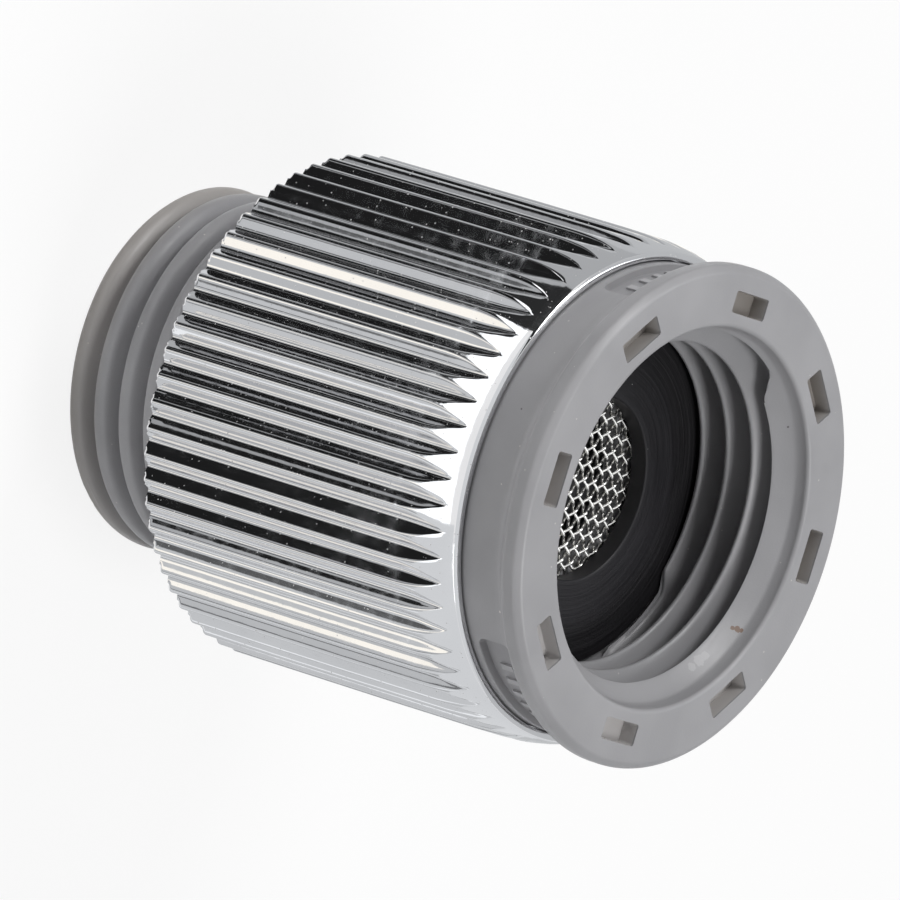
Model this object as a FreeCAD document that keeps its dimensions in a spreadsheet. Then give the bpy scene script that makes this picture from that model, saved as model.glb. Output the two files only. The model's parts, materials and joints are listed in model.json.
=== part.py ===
import FreeCAD, Part
import math
import os
import sys

import Sketcher

# Shower flow regulator, millimetres. It stands on its outlet end: the axis is Z, the outlet thread
# is at the bottom, the inlet socket opens upwards. Angles are counted from +X, seen from the inlet.

doc = FreeCAD.newDocument("ShowerFlowRegulator")

# Driving dimensions: word alias, value, what it measures
dimensions = [
    ("stub_length", 9.3, "outlet thread that shows below the sleeve"),
    ("sleeve_length", 22.4, "turning sleeve, end to end"),
    ("collar_height", 2.9, "plain collar between the sleeve and the flange's flare"),
    ("flange_thickness", 1.75, "flare and rim of the inlet flange"),
    ("thread_major_radius", 10.4775, "G1/2 thread, crest of the outlet thread"),
    ("thread_height", 1.162, "G1/2 thread, from root to crest"),
    ("root_clearance", 0.0225, "undercut and inner tube, beyond the thread's major radius"),
    ("land_clearance", 0.1425, "plain land of the socket, beyond the thread's major radius"),
    ("thread_runout", 0.8, "neck between the outlet thread and the shoulder"),
    ("inlet_thread_depth", 4.4, "threaded stretch of the inlet socket"),
    ("outlet_step", 1.4, "how much the outlet narrows below the piston's bore"),
    ("end_chamfer", 0.5, "lead-in at the outlet end"),
    ("body_wall", 2.1, "wall of the skirt and shoulder inside the sleeve"),
    ("tube_wall", 2.1, "wall of the inner tube"),
    ("sleeve_play", 0.3, "room between the sleeve and the body inside it"),
    ("sleeve_wall", 1.6, "sleeve, from its bore to the rib crests"),
    ("flute_depth", 0.56, "depth of the flutes between the ribs"),
    ("flute_width", 1.12, "width of a flute at the crests"),
    ("flute_floor", 0.22, "flat at the bottom of a flute"),
    ("flute_count", 60, "ribs round the sleeve"),
    ("flute_runout_radius", 10.0, "arc on which a flute rises out of the sleeve"),
    ("flute_phase", 0.7, "degrees from +X to the first flute"),
    ("plain_band", 0.9, "smooth band between the flute tips and the sleeve's upper end"),
    ("sleeve_mouth_wall", 0.75, "wall of the sleeve where it laps the collar"),
    ("sleeve_mouth_depth", 1.0, "how far the sleeve laps the collar"),
    ("sleeve_lip_thickness", 0.6, "inward lip at the sleeve's lower end"),
    ("sleeve_lip_clearance", 0.47, "room round the outlet thread in that lip"),
    ("sleeve_edge_chamfer", 0.2, "bevelled lower edge of the ribs"),
    ("sleeve_mouth_chamfer", 0.4, "eased upper edge of the sleeve"),
    ("collar_step", 1.1, "how far the collar stays inside the rib crests"),
    ("flange_step", 0.25, "how far the flange stays inside the rib crests"),
    ("flare_start", 0.6, "height over which the flare leaves the collar"),
    ("flare_swell", 0.2, "how far it has come out by then"),
    ("rim_edge", 0.65, "eased outer edge of the flange's face, in two bevels"),
    ("rim_edge_share", 0.29, "where the two bevels meet, as a share of that edge"),
    ("rim_land", 0.45, "upright band of the flange's rim"),
    ("face_width", 3.15, "ring-shaped face of the flange"),
    ("mouth_depth", 0.75, "tapered entry under the face"),
    ("mouth_taper", 0.35, "how much the entry narrows"),
    ("counterbore_depth", 1.8, "length of the plain land above the thread"),
    ("pocket_count", 8, "moulded pockets in the flange's face"),
    ("pocket_place", 0.65, "middle of a pocket, as a share of the face's width from the rim"),
    ("pocket_width", 1.15, "pocket across the face"),
    ("pocket_length", 2.65, "pocket along the face"),
    ("pocket_depth", 1.3, "depth of a pocket"),
    ("recess_depth", 0.3, "scale recesses in the collar"),
    ("recess_height", 2.1, "height of a recess"),
    ("recess_offset", 0.7, "plain strip between the sleeve and a recess"),
    ("recess_span", 56.0, "degrees that a recess covers"),
    ("closed_angle", -17.5, "degrees from +X to the middle of the recess at the closed end"),
    ("open_angle", 189.0, "degrees from +X to the middle of the recess at the open end"),
    ("relief_height", 1.8, "undercut below the inlet thread, which traps the washer"),
    ("floor_thickness", 1.4, "floor of the inlet socket"),
    ("seat_step", 0.2, "opening of the floor, beyond the piston's waterway"),
    ("shoulder_thickness", 2.0, "shoulder that carries the sleeve"),
    ("joint_overlap", 3.2, "how far the inlet skirt laps the inner tube"),
    ("snap_count", 4, "snap lugs that hold inlet and outlet together"),
    ("snap_height", 0.8, "height of a snap lug"),
    ("snap_width", 3.0, "width of a snap lug"),
    ("snap_reach", 0.7, "how far a lug stands out of the tube"),
    ("key_count", 4, "keys between the cam ring and the sleeve"),
    ("key_width", 2.0, "width of a key"),
    ("key_height", 0.4, "how far a key stands out of the cam ring"),
    ("travel", 2.4, "stroke of the piston"),
    ("turn_angle", 160.0, "degrees that the sleeve turns, open to closed"),
    ("pin_radius", 0.7, "drive pins"),
    ("piston_wall", 3.35, "wall of the piston"),
    ("piston_end", 0.6, "land of the piston beyond each seal"),
    ("plug_gap", 0.4, "room between the metering cone's root and the piston's waterway"),
    ("plug_taper", 2.2, "how much the metering cone narrows"),
    ("spider_thickness", 1.4, "ring and arms that carry the metering cone"),
    ("spider_step", 0.2, "opening of the spider's ring, beyond the piston's bore"),
    ("arm_width", 1.3, "arms of the spider"),
    ("arm_count", 4, "arms of the spider"),
    ("seal_thickness", 0.9, "section of the sealing rings"),
    ("groove_play", 0.15, "room beside a sealing ring in its groove"),
    ("washer_step", 0.05, "opening of the washer, beyond the floor's"),
    ("washer_thickness", 1.7, "filter washer"),
    ("screen_lap", 1.35, "edge of the screen under the washer"),
    ("screen_rim", 1.2, "pressed edge of the screen"),
    ("wire_width", 0.3, "wire of the screen"),
    ("wire_pitch", 1.0, "spacing of the wires"),
    ("slide_clearance", 0.05, "radial room of a sliding or turning fit"),
    ("turn_clearance", 0.1, "room between faces that turn on each other"),
    ("seal_clearance", 0.03, "room between a sealing ring and its walls"),
    ("pin_clearance", 0.12, "room round a drive pin in its slot or groove"),
]

sheet = doc.addObject("Spreadsheet::Sheet", "Sizes")
for row, (alias, value, note) in enumerate(dimensions, start=1):
    sheet.set(f"A{row}", note)
    sheet.set(f"B{row}", str(value))
    sheet.setAlias(f"B{row}", alias)
doc.recompute()


class Size:
    # A length with the formula that binds it to the sheet, and its present value
    def __init__(self, text, value):
        self.text = text
        self.value = float(value)

    def __add__(self, other):
        other = sized(other)
        return Size(f"({self.text} + {other.text})", self.value + other.value)

    def __sub__(self, other):
        other = sized(other)
        return Size(f"({self.text} - {other.text})", self.value - other.value)

    def __mul__(self, other):
        other = sized(other)
        return Size(f"({self.text} * {other.text})", self.value * other.value)

    def __truediv__(self, other):
        other = sized(other)
        return Size(f"({self.text} / {other.text})", self.value / other.value)

    def __neg__(self):
        return Size(f"(0 - {self.text})", -self.value)


def sized(number):
    return number if isinstance(number, Size) else Size(f"{number:g}", number)


class Named:
    pass


s = Named()
for alias, value, note in dimensions:
    setattr(s, alias, Size(f"Sizes.{alias}", value))
zero = sized(0)

# Radii, from the thread outwards, each by a wall, a step or a clearance
thread_minor_radius = s.thread_major_radius - s.thread_height
relief_radius = s.thread_major_radius + s.root_clearance
counterbore_radius = s.thread_major_radius + s.land_clearance
sleeve_lip_radius = s.thread_major_radius + s.sleeve_lip_clearance
tube_radius = relief_radius
skirt_radius = relief_radius + s.body_wall
sleeve_bore_radius = skirt_radius + s.sleeve_play
crest_radius = sleeve_bore_radius + s.sleeve_wall
collar_radius = crest_radius - s.collar_step
flange_radius = crest_radius - s.flange_step
mouth_radius = flange_radius - s.face_width
pocket_circle_radius = flange_radius - s.face_width * s.pocket_place

# Radii, from the inner tube inwards
cylinder_radius = tube_radius - s.tube_wall
outlet_bore_radius = cylinder_radius - s.outlet_step
piston_radius = cylinder_radius - s.slide_clearance
piston_bore_radius = piston_radius - s.piston_wall
spider_opening_radius = cylinder_radius + s.spider_step
plug_radius = piston_bore_radius - s.plug_gap
plug_tip_radius = plug_radius - s.plug_taper
seat_opening_radius = piston_bore_radius + s.seat_step
washer_bore_radius = seat_opening_radius + s.washer_step
screen_radius = washer_bore_radius + s.screen_lap
groove_depth = s.seal_thickness - s.seal_clearance

# Heights above the outlet end
sleeve_top = s.stub_length + s.sleeve_length
flare_base = sleeve_top + s.collar_height
face = flare_base + s.flange_thickness
thread_top = face - s.mouth_depth - s.counterbore_depth
relief_top = thread_top - s.inlet_thread_depth
seat = relief_top - s.relief_height
floor_underside = seat - s.floor_thickness
tube_top = floor_underside - s.spider_thickness
skirt_bottom = tube_top - s.joint_overlap
shoulder_bottom = s.stub_length + s.sleeve_lip_thickness + s.turn_clearance
shoulder_top = shoulder_bottom + s.shoulder_thickness
cam_bottom = shoulder_top + s.turn_clearance
cam_height = skirt_bottom - s.turn_clearance - cam_bottom
pin_open = (shoulder_top + skirt_bottom - s.travel) / 2

# The piston's seals stay clear of the slots over the whole stroke
groove_width = s.seal_thickness + s.groove_play * 2
slot_end = s.pin_radius + s.pin_clearance
seal_offset = s.travel + slot_end + groove_width / 2 + s.turn_clearance
piston_top = pin_open + seal_offset + groove_width / 2 + s.piston_end
piston_bottom = pin_open - seal_offset - groove_width / 2 - s.piston_end

# Heights of the other sealing rings, and of the snap joint
joint_seal_height = tube_top - s.piston_end - groove_width / 2
upper_seal_height = sleeve_top - s.sleeve_mouth_depth - groove_width * 1.5
lower_seal_height = (shoulder_bottom + shoulder_top) / 2
snap_base = skirt_bottom + s.turn_clearance * 3
diagonal = sized(45)

# The ring between tube and sleeve, whose cam grooves are half as deep as its wall
cam_radius = sleeve_bore_radius - s.slide_clearance
cam_bore_radius = tube_radius + s.slide_clearance * 2
cam_root_radius = (cam_bore_radius + cam_radius) / 2
pin_groove_half = s.pin_radius + s.pin_clearance


def bind(thing, prop, size):
    thing.setExpression(prop, size.text)


def role(body, name):
    return next(f for f in body.Origin.OriginFeatures if f.Role == name)


def new_body(label, height=zero, turn=zero):
    # The Label names the piece's file; the placement stands the piece at its height on the axis
    body = doc.addObject("PartDesign::Body", label)
    body.Label = label
    body.Placement = FreeCAD.Placement(
        FreeCAD.Vector(0, 0, height.value), FreeCAD.Rotation(FreeCAD.Vector(0, 0, 1), turn.value)
    )
    bind(body, "Placement.Base.z", height)
    bind(body, "Placement.Rotation.Angle", turn)
    return body


def new_sketch(body, name, plane, lift=zero, turn=zero):
    # lift raises a level sketch, turn swings any sketch round Z
    sketch = body.newObject("Sketcher::SketchObject", name)
    sketch.AttachmentSupport = [(role(body, plane), "")]
    sketch.MapMode = "FlatFace"
    axis = FreeCAD.Vector(0, 0, 1) if plane == "XY_Plane" else FreeCAD.Vector(0, 1, 0)
    base = FreeCAD.Vector(0, 0, lift.value)
    sketch.AttachmentOffset = FreeCAD.Placement(base, FreeCAD.Rotation(axis, turn.value))
    bind(sketch, "AttachmentOffset.Base.z", lift)
    bind(sketch, "AttachmentOffset.Rotation.Angle", turn)
    return sketch


def tie(sketch, geometry, point, across, up):
    # Places one point of the sketch by two dimensions, or on an axis where a coordinate is nought
    for kind, axis, size in (("DistanceX", -2, across), ("DistanceY", -1, up)):
        if size.text == "0":
            sketch.addConstraint(Sketcher.Constraint("PointOnObject", geometry, point, axis))
        else:
            made = sketch.addConstraint(Sketcher.Constraint(kind, -1, 1, geometry, point, size.value))
            sketch.setExpression(f"Constraints[{made}]", size.text)


def draw(sketch, corners):
    # Closed outline of straight edges through the corners (across, up)
    points = [FreeCAD.Vector(across.value, up.value, 0) for across, up in corners]
    lines = [
        sketch.addGeometry(Part.LineSegment(point, points[(i + 1) % len(points)]), False)
        for i, point in enumerate(points)
    ]
    for i, (across, up) in enumerate(corners):
        sketch.addConstraint(Sketcher.Constraint("Coincident", lines[i - 1], 2, lines[i], 1))
        tie(sketch, lines[i], 1, across, up)


def draw_circle(sketch, radius, height):
    # Circle on the sketch's upright axis
    circle = Part.Circle(FreeCAD.Vector(0, height.value, 0), FreeCAD.Vector(0, 0, 1), radius.value)
    made = sketch.addGeometry(circle, False)
    tie(sketch, made, 3, zero, height)
    number = sketch.addConstraint(Sketcher.Constraint("Radius", made, radius.value))
    sketch.setExpression(f"Constraints[{number}]", radius.text)


def rectangle(low_x, high_x, low_y, high_y):
    return [(low_x, low_y), (high_x, low_y), (high_x, high_y), (low_x, high_y)]


def revolve(body, name, corners, kind="Revolution", angle=None, turn=zero):
    # Turned form: the outline is drawn in radius and height and turned about Z
    sketch = new_sketch(body, name + "_outline", "XZ_Plane", turn=turn)
    draw(sketch, corners)
    feature = body.newObject("PartDesign::" + kind, name)
    feature.Profile = sketch
    feature.ReferenceAxis = (sketch, ["V_Axis"])
    feature.Angle = 360
    if angle:
        feature.Midplane = True
        bind(feature, "Angle", angle)
    body.Tip = feature
    return feature


def extrude(body, name, corners, length, kind="Pad", lift=zero, turn=zero, up=True):
    # A flat outline at the height lift, pushed up or down through material or air
    sketch = new_sketch(body, name + "_outline", "XY_Plane", lift, turn)
    draw(sketch, corners)
    return push(body, name, sketch, length, kind, up)


def push(body, name, sketch, length, kind, up=True):
    feature = body.newObject("PartDesign::" + kind, name)
    feature.Profile = sketch
    feature.Type = "Length"
    bind(feature, "Length", length)
    feature.Reversed = up if kind == "Pocket" else not up
    body.Tip = feature
    return feature


def cross_hole(body, name, sketch, reach):
    # Cut both ways from the middle, through both walls of a tube
    feature = push(body, name, sketch, reach * 2, "Pocket")
    feature.SideType = "Symmetric"
    return feature


def repeat_round(body, name, features, count):
    pattern = body.newObject("PartDesign::PolarPattern", name)
    pattern.Originals = features
    pattern.Axis = (role(body, "Z_Axis"), [""])
    pattern.Angle = 360
    pattern.Occurrences = int(count.value)
    bind(pattern, "Occurrences", count)
    body.Tip = pattern
    return pattern


def repeat_across(body, name, features, axis, span, count):
    pattern = body.newObject("PartDesign::LinearPattern", name)
    pattern.Originals = features
    pattern.Direction = (role(body, axis), [""])
    bind(pattern, "Length", span)
    pattern.Occurrences = count
    body.Tip = pattern
    return pattern


def groove_corners(wall, middle):
    # Corners of a sealing ring's groove in a wall that is drawn upwards
    root = wall - groove_depth
    low = middle - groove_width / 2
    high = middle + groove_width / 2
    return [(wall, low), (root, low), (root, high), (wall, high)]


def outlet_body():
    # Outlet thread, shoulder under the sleeve, and the inner tube with its piston bore
    body = new_body("outlet_body")
    neck = shoulder_bottom - s.thread_runout
    outline = [
        (outlet_bore_radius, zero),
        (s.thread_major_radius - s.end_chamfer, zero),
        (s.thread_major_radius, s.end_chamfer),
        (s.thread_major_radius, neck),
        (thread_minor_radius, neck),
        (thread_minor_radius, shoulder_bottom),
        (skirt_radius, shoulder_bottom),
        *groove_corners(skirt_radius, lower_seal_height),
        (skirt_radius, shoulder_top),
        (tube_radius, shoulder_top),
        *groove_corners(tube_radius, joint_seal_height),
        (tube_radius, tube_top),
        (cylinder_radius, tube_top),
        (cylinder_radius, piston_bottom - s.turn_clearance),
        (outlet_bore_radius, piston_bottom - s.turn_clearance),
    ]
    revolve(body, "outlet_turned", outline)
    slots = new_sketch(body, "pin_slot_outline", "YZ_Plane")
    low = pin_open - slot_end
    high = pin_open + s.travel + slot_end
    draw(slots, rectangle(-pin_groove_half, pin_groove_half, low, high))
    cross_hole(body, "pin_slots", slots, skirt_radius)
    half_lug = s.snap_width / 2
    lug = rectangle(cylinder_radius + s.snap_reach, tube_radius + s.snap_reach, -half_lug, half_lug)
    pad = extrude(body, "snap_lug", lug, s.snap_height, lift=snap_base + s.turn_clearance, turn=diagonal)
    repeat_round(body, "snap_lugs", [pad], s.snap_count)
    return body


def inlet_body():
    # Flange and collar with the threaded socket; its skirt snaps over the inner tube
    body = new_body("inlet_body", skirt_bottom)

    def above(height):
        return height - skirt_bottom

    collar_bottom = sleeve_top - s.sleeve_mouth_depth + s.turn_clearance
    bevel = s.rim_edge * s.rim_edge_share
    outline = [
        (tube_radius + s.slide_clearance, zero),
        (skirt_radius, zero),
        *groove_corners(skirt_radius, above(upper_seal_height)),
        (skirt_radius, above(collar_bottom)),
        (collar_radius, above(collar_bottom)),
        (collar_radius, above(flare_base) - s.flare_start),
        (collar_radius + s.flare_swell, above(flare_base)),
        (flange_radius, above(face) - s.rim_edge - s.rim_land),
        (flange_radius, above(face) - s.rim_edge),
        (flange_radius - bevel, above(face) - bevel),
        (flange_radius - s.rim_edge, above(face)),
        (mouth_radius, above(face)),
        (mouth_radius - s.mouth_taper, above(face - s.mouth_depth)),
        (counterbore_radius, above(face - s.mouth_depth)),
        (counterbore_radius, above(thread_top)),
        (thread_minor_radius, above(thread_top)),
        (thread_minor_radius, above(relief_top)),
        (relief_radius, above(relief_top)),
        (relief_radius, above(seat)),
        (seat_opening_radius, above(seat)),
        (seat_opening_radius, above(floor_underside)),
        (tube_radius + s.slide_clearance, above(floor_underside)),
    ]
    revolve(body, "inlet_turned", outline)

    half_length, half_width = s.pocket_length / 2, s.pocket_width / 2
    slot = rectangle(
        pocket_circle_radius - half_width, pocket_circle_radius + half_width, -half_length, half_length
    )
    pocket = extrude(body, "face_pocket", slot, s.pocket_depth, "Pocket", above(face), up=False)
    repeat_round(body, "face_pockets", [pocket], s.pocket_count)

    half_window = s.snap_width / 2 + s.pin_clearance
    window = rectangle(tube_radius - s.snap_reach, skirt_radius + s.snap_reach, -half_window, half_window)
    height = s.snap_height + s.turn_clearance * 2
    hole = extrude(body, "snap_window", window, height, "Pocket", above(snap_base), turn=diagonal)
    repeat_round(body, "snap_windows", [hole], s.snap_count)

    floor_radius = collar_radius - s.recess_depth
    low = above(sleeve_top + s.recess_offset)
    for name, middle in (("closed", s.closed_angle), ("open", s.open_angle)):
        field = rectangle(floor_radius, flange_radius + s.recess_depth, low, low + s.recess_height)
        revolve(body, name + "_recess", field, "Groove", angle=s.recess_span, turn=middle)
    return body


def grip_sleeve():
    # Fluted sleeve that the hand turns; the flutes rise out of it below a plain band
    body = new_body("grip_sleeve", s.stub_length, s.flute_phase)
    mouth_radius = crest_radius - s.sleeve_mouth_wall
    mouth_floor = s.sleeve_length - s.sleeve_mouth_depth
    outline = [
        (sleeve_lip_radius, zero),
        (crest_radius - s.sleeve_edge_chamfer, zero),
        (crest_radius, s.sleeve_edge_chamfer),
        (crest_radius, s.sleeve_length - s.sleeve_mouth_chamfer),
        (crest_radius - s.sleeve_mouth_chamfer, s.sleeve_length),
        (mouth_radius, s.sleeve_length),
        (mouth_radius, mouth_floor),
        (sleeve_bore_radius, mouth_floor),
        (sleeve_bore_radius, s.sleeve_lip_thickness),
        (sleeve_lip_radius, s.sleeve_lip_thickness),
    ]
    revolve(body, "sleeve_turned", outline)

    # The run-out arc ends at the plain band, so the straight flute ends one run-out below it
    drop = s.flute_depth / s.flute_runout_radius
    runout_length = Size(
        f"(Sizes.flute_runout_radius * sqrt({(drop * 2 - drop * drop).text}))",
        s.flute_runout_radius.value * math.sqrt((drop * 2 - drop * drop).value),
    )
    straight = s.sleeve_length - s.plain_band - runout_length
    root = crest_radius - s.flute_depth
    slope = (s.flute_width - s.flute_floor) / s.flute_depth / 2
    half_floor = s.flute_floor / 2
    half_top = half_floor + slope * s.flute_depth * 2
    outer = root + s.flute_depth * 2
    trough = [(root, -half_floor), (outer, -half_top), (outer, half_top), (root, half_floor)]
    flute = extrude(body, "flute", trough, straight, "Pocket")

    sketch = new_sketch(body, "flute_runout_outline", "XY_Plane", straight)
    draw(sketch, trough)
    centre = root + s.flute_runout_radius
    line = sketch.addGeometry(
        Part.LineSegment(FreeCAD.Vector(centre.value, -1, 0), FreeCAD.Vector(centre.value, 1, 0)), True
    )
    tie(sketch, line, 1, centre, sized(-1))
    tie(sketch, line, 2, centre, sized(1))
    runout = body.newObject("PartDesign::Groove", "flute_runout")
    runout.Profile = sketch
    runout.ReferenceAxis = (sketch, ["Axis0"])
    runout.Angle = 35
    runout.Reversed = False
    body.Tip = runout
    repeat_round(body, "flutes", [flute, runout], s.flute_count)

    key_root = sleeve_bore_radius + s.key_height + s.slide_clearance
    half_key = s.key_width / 2 + s.slide_clearance
    inside = sleeve_bore_radius - s.key_height
    keyway = rectangle(inside, key_root, -half_key, half_key)
    low = cam_bottom - s.stub_length - s.turn_clearance
    cut = extrude(body, "keyway", keyway, mouth_floor - low, "Pocket", low, turn=diagonal)
    repeat_round(body, "keyways", [cut], s.key_count)
    return body


def cam_ring():
    # Ring keyed into the sleeve, with two helical grooves that lift the drive pins
    body = new_body("cam_ring", cam_bottom)
    revolve(body, "cam_turned", rectangle(cam_bore_radius, cam_radius, zero, cam_height))
    half_key = s.key_width / 2
    key = rectangle(cam_radius - s.key_height, cam_radius + s.key_height, -half_key, half_key)
    pad = extrude(body, "key", key, cam_height, turn=s.flute_phase + diagonal)
    repeat_round(body, "keys", [pad], s.key_count)

    # The groove runs past each pin stop by the pin's own half width
    spare_angle = pin_groove_half * 360 / math.pi / (cam_bore_radius + cam_root_radius)
    spare_rise = s.travel * spare_angle / s.turn_angle
    start = pin_open - cam_bottom - spare_rise
    sketch = new_sketch(body, "cam_groove_outline", "XZ_Plane", turn=-spare_angle)
    low, high = start - pin_groove_half, start + pin_groove_half
    inside = tube_radius - s.slide_clearance
    draw(sketch, rectangle(inside, cam_root_radius, low, high))
    groove = body.newObject("PartDesign::SubtractiveHelix", "cam_groove")
    groove.Profile = sketch
    groove.ReferenceAxis = (sketch, ["V_Axis"])
    groove.Mode = "height-turns-angle"
    groove.Angle = 0
    groove.LeftHanded = False
    groove.Reversed = False
    bind(groove, "Height", s.travel + spare_rise * 2)
    bind(groove, "Turns", (s.turn_angle + spare_angle * 2) / 360)
    body.Tip = groove
    repeat_round(body, "cam_grooves", [groove], sized(2))

    # The pins are pushed in from outside before the sleeve goes on
    hole = new_sketch(body, "assembly_hole_outline", "YZ_Plane")
    draw_circle(hole, pin_groove_half, pin_open - cam_bottom)
    cross_hole(body, "assembly_holes", hole, crest_radius)
    return body


def throttle_piston():
    # Tube that slides in the inner tube; its upper rim closes round the metering cone
    body = new_body("throttle_piston", piston_bottom)
    length = piston_top - piston_bottom
    pin_height = pin_open - piston_bottom
    outline = [
        (piston_bore_radius, zero),
        (piston_radius, zero),
        *groove_corners(piston_radius, pin_height - seal_offset),
        *groove_corners(piston_radius, pin_height + seal_offset),
        (piston_radius, length),
        (piston_bore_radius, length),
    ]
    revolve(body, "piston_turned", outline)
    hole = new_sketch(body, "pin_hole_outline", "YZ_Plane")
    draw_circle(hole, s.pin_radius + s.seal_clearance, pin_height)
    cross_hole(body, "pin_holes", hole, cylinder_radius)
    return body


def drive_pin(number, side):
    # Steel pin from the piston's wall through the slot into the cam groove; side is 1 for +X, -1 for -X
    pin = doc.addObject("Part::Cylinder", f"drive_pin_{number}")
    pin.Label = f"drive_pin_{number}"
    inner = piston_bore_radius + s.piston_end
    length = cam_root_radius - s.pin_clearance - inner
    bind(pin, "Radius", s.pin_radius)
    bind(pin, "Height", length)
    pin.Placement = FreeCAD.Placement(
        FreeCAD.Vector(0, 0, 0), FreeCAD.Rotation(FreeCAD.Vector(0, 1, 0), 90 * side)
    )
    bind(pin, "Placement.Base.x", inner * side)
    bind(pin, "Placement.Base.z", pin_open)
    return pin


def seal_ring(label, root, height):
    # Square sealing ring in its groove, just clear of the groove's root and of the wall it meets
    body = new_body(label, height)
    inner = root + s.seal_clearance / 2
    outer = root + s.seal_thickness - s.seal_clearance * 1.5
    half = s.seal_thickness / 2
    revolve(body, label + "_turned", rectangle(inner, outer, -half, half))
    return body


def metering_plug():
    # Spider clamped under the socket's floor, with the cone that the piston closes on
    body = new_body("metering_plug", tube_top)
    ring = rectangle(spider_opening_radius, tube_radius - s.slide_clearance, zero, s.spider_thickness)
    revolve(body, "spider_ring", ring)
    half_arm = s.arm_width / 2
    middle = (spider_opening_radius + tube_radius) / 2
    arm = extrude(body, "arm", rectangle(zero, middle, -half_arm, half_arm), s.spider_thickness)
    repeat_round(body, "arms", [arm], s.arm_count)
    tip = tube_top - piston_top
    cone = [
        (zero, s.spider_thickness),
        (zero, -tip),
        (plug_tip_radius, -tip),
        (plug_radius, zero),
        (plug_radius, s.spider_thickness / 2),
        (plug_tip_radius, s.spider_thickness),
    ]
    revolve(body, "cone", cone)
    return body


def filter_washer():
    # Rubber washer that the supply pipe presses on, rebated below for the screen
    body = new_body("filter_washer", seat)
    rebate = screen_radius + s.slide_clearance
    depth = s.wire_width * 1.5 + s.slide_clearance
    outline = [
        (rebate, zero),
        (relief_radius - s.groove_play * 2, zero),
        (relief_radius - s.groove_play * 2, s.washer_thickness),
        (washer_bore_radius, s.washer_thickness),
        (washer_bore_radius, depth),
        (rebate, depth),
    ]
    revolve(body, "washer_turned", outline)
    return body


def filter_screen():
    # Two crossed layers of wires in a pressed rim, trimmed round
    body = new_body("filter_screen", seat)
    layer = s.wire_width * 0.75
    rim = rectangle(screen_radius - s.screen_rim, screen_radius, zero, layer * 2)
    revolve(body, "rim", rim)
    reach = screen_radius - s.screen_rim / 2
    across = int((screen_radius - s.screen_rim).value / s.wire_pitch.value)
    for name, axis, turn, lift in (("weft", "Y_Axis", 0, zero), ("warp", "X_Axis", 90, layer)):
        first = s.wire_pitch * -across if turn == 0 else s.wire_pitch * across
        wire = rectangle(-reach, reach, first - s.wire_width / 2, first + s.wire_width / 2)
        bar = extrude(body, name, wire, layer, lift=lift, turn=sized(turn))
        repeat_across(body, name + "_wires", [bar], axis, s.wire_pitch * (2 * across), 2 * across + 1)
    trim = rectangle(screen_radius, screen_radius * 2, -layer, layer * 3)
    revolve(body, "trim", trim, "Groove")
    return body


pieces = [outlet_body(), inlet_body(), grip_sleeve(), cam_ring(), throttle_piston()]
pieces += [drive_pin(1, 1), drive_pin(2, -1)]
pieces += [metering_plug(), filter_washer(), filter_screen()]
pieces += [
    seal_ring("piston_seal_upper", piston_radius - groove_depth, pin_open + seal_offset),
    seal_ring("piston_seal_lower", piston_radius - groove_depth, pin_open - seal_offset),
    seal_ring("body_seal", tube_radius - groove_depth, joint_seal_height),
    seal_ring("sleeve_seal_upper", skirt_radius - groove_depth, upper_seal_height),
    seal_ring("sleeve_seal_lower", skirt_radius - groove_depth, lower_seal_height),
]

doc.recompute()

faults = [f"{o.Label}: {o.State}" for o in doc.Objects if "Invalid" in o.State or "Error" in o.State]
for piece in pieces:
    shape = piece.Shape
    if shape.isNull() or not shape.isValid() or len(shape.Solids) != 1:
        faults.append(f"{piece.Label}: its shape is not one valid solid")
if faults:
    print("\n".join(faults))
    sys.exit(1)

os.makedirs("parts", exist_ok=True)
for piece in pieces:
    piece.Shape.exportStep(f"parts/{piece.Label}.step")
    box = piece.Shape.BoundBox
    print(f"{piece.Label}: {piece.Shape.Volume:.1f} mm3, z {box.ZMin:.2f} to {box.ZMax:.2f}")
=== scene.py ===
import json
import math

import bpy
import numpy as np
from mathutils import Matrix, Vector


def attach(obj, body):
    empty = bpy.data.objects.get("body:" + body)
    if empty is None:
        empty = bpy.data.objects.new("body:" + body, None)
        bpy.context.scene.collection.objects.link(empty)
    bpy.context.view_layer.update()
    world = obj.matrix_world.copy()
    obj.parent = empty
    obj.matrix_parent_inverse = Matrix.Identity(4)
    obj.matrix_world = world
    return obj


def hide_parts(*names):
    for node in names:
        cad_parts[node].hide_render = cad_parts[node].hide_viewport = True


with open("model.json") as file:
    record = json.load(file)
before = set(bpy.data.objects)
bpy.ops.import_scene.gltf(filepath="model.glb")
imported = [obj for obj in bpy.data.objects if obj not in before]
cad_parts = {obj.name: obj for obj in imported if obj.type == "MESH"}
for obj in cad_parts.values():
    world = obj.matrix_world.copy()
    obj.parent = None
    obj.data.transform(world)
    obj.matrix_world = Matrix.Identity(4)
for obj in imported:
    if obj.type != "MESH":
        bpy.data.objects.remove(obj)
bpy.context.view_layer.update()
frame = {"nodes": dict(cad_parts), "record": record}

mm = 0.001
turn = 2 * math.pi
print("frame loaded")


def newObject(name, points, faces, smooth=True):
    mesh = bpy.data.meshes.new(name)
    mesh.from_pydata([tuple(p) for p in points], [], faces)
    mesh.validate()
    mesh.update()
    thing = bpy.data.objects.new(name, mesh)
    bpy.context.scene.collection.objects.link(thing)
    if smooth:
        mesh.polygons.foreach_set("use_smooth", [True] * len(mesh.polygons))
    return thing


def sharpen(thing, degrees=35):
    # edges steeper than this stay crisp
    bpy.context.view_layer.objects.active = thing
    thing.select_set(True)
    bpy.ops.object.shade_smooth_by_angle(angle=math.radians(degrees))
    thing.select_set(False)


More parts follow.
